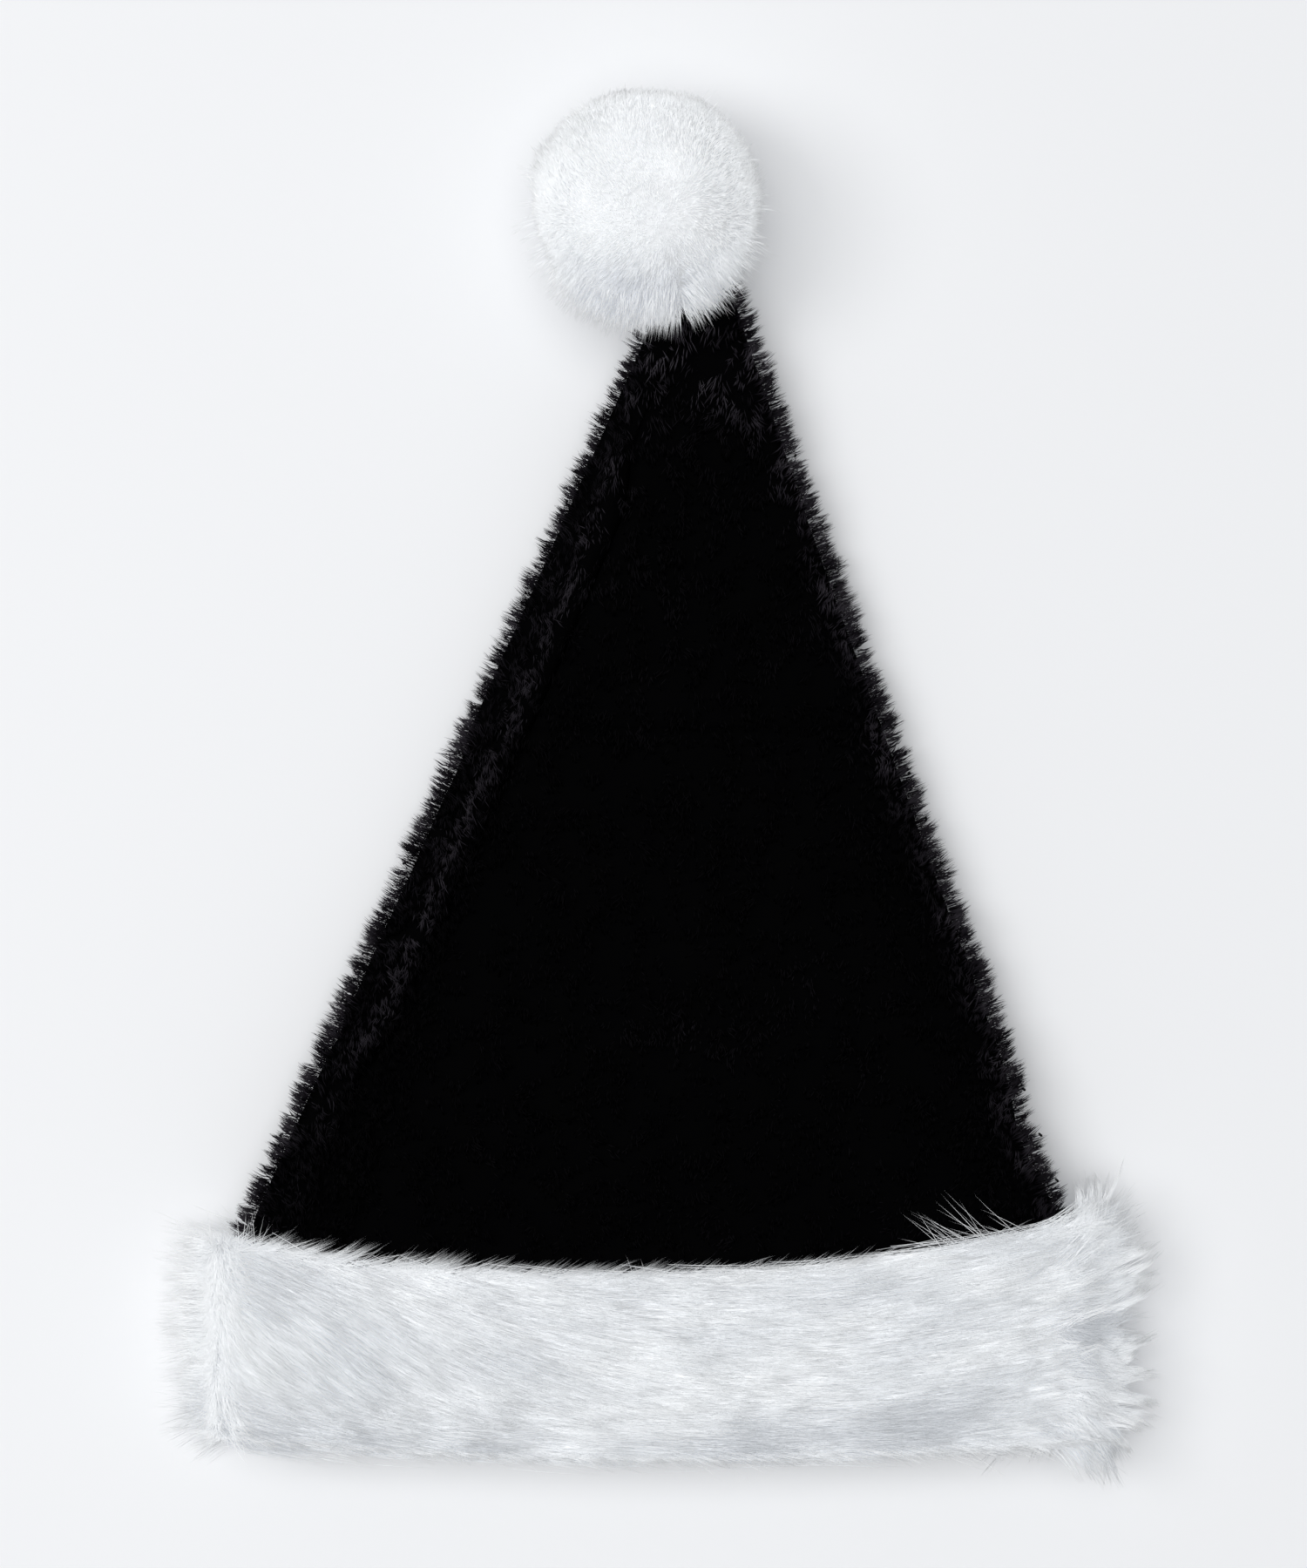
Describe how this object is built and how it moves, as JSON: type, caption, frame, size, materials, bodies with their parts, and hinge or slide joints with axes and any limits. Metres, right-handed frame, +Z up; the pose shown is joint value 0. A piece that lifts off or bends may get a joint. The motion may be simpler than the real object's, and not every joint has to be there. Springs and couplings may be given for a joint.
{
  "type": "party_hat",
  "caption": "Plush cone party hat with a fur brim and a fur pompom tied to its tip, lying flat; the crown folds and the pompom swings.",
  "frame": {"origin": "on the table under the middle of the whole hat as it lies flat", "axes": "+X across the hat, +Y from the brim towards the tip, +Z up from the table"},
  "size_m": [0.3, 0.4514, 0.0754],
  "materials": {
    "white_fur": "long-pile white faux fur, combed round the brim",
    "pompom_fur": "dense fine white faux fur",
    "black_plush": "short-pile black plush, clumpy, with a faint sheen",
    "white_facing": "matt woven white lining cloth",
    "white_thread": "matt white sewing thread",
    "black_thread": "matt black sewing thread",
    "stuffing_fibre": "loose white polyester fibre"
  },
  "bodies": {
    "hat_base": {"brim_fur": "white_fur", "brim_facing": "white_facing", "brim_seam_thread": "white_thread", "brim_joining_thread": "white_thread", "crown_front_lower": "black_plush", "crown_back_lower": "black_plush", "side_seam_thread_lower": "black_thread"},
    "crown_middle": {"crown_front_middle": "black_plush", "crown_back_middle": "black_plush", "side_seam_thread_middle": "black_thread"},
    "crown_tip": {"crown_front_tip": "black_plush", "crown_back_tip": "black_plush", "side_seam_thread_tip": "black_thread", "neck_binding_thread": "black_thread", "pompom_tie": "white_thread"},
    "tie_knot": {"pompom_knot": "white_thread"},
    "pompom": {"pompom_cover": "pompom_fur", "pompom_stuffing": "stuffing_fibre", "pompom_gather_thread": "white_thread"}
  },
  "joints": [
    {"name": "lower_fold", "type": "hinge", "parent": "hat_base", "child": "crown_middle", "pos_m": [0, -0.03676, 0.023], "axis": [1, 0, 0], "range_deg": [0, 75]},
    {"name": "tip_fold", "type": "hinge", "parent": "crown_middle", "child": "crown_tip", "pos_m": [0, 0.06824, 0.021], "axis": [1, 0, 0], "range_deg": [0, 75]},
    {"name": "pompom_sway", "type": "hinge", "parent": "crown_tip", "child": "tie_knot", "pos_m": [0.0115, 0.16024, 0.026], "axis": [0, 0, -1], "range_deg": [-10, 60]},
    {"name": "pompom_nod", "type": "hinge", "parent": "tie_knot", "child": "pompom", "pos_m": [0.0115, 0.16024, 0.026], "axis": [0.8771, 0.4802, 0], "range_deg": [0, 30]}
  ]
}
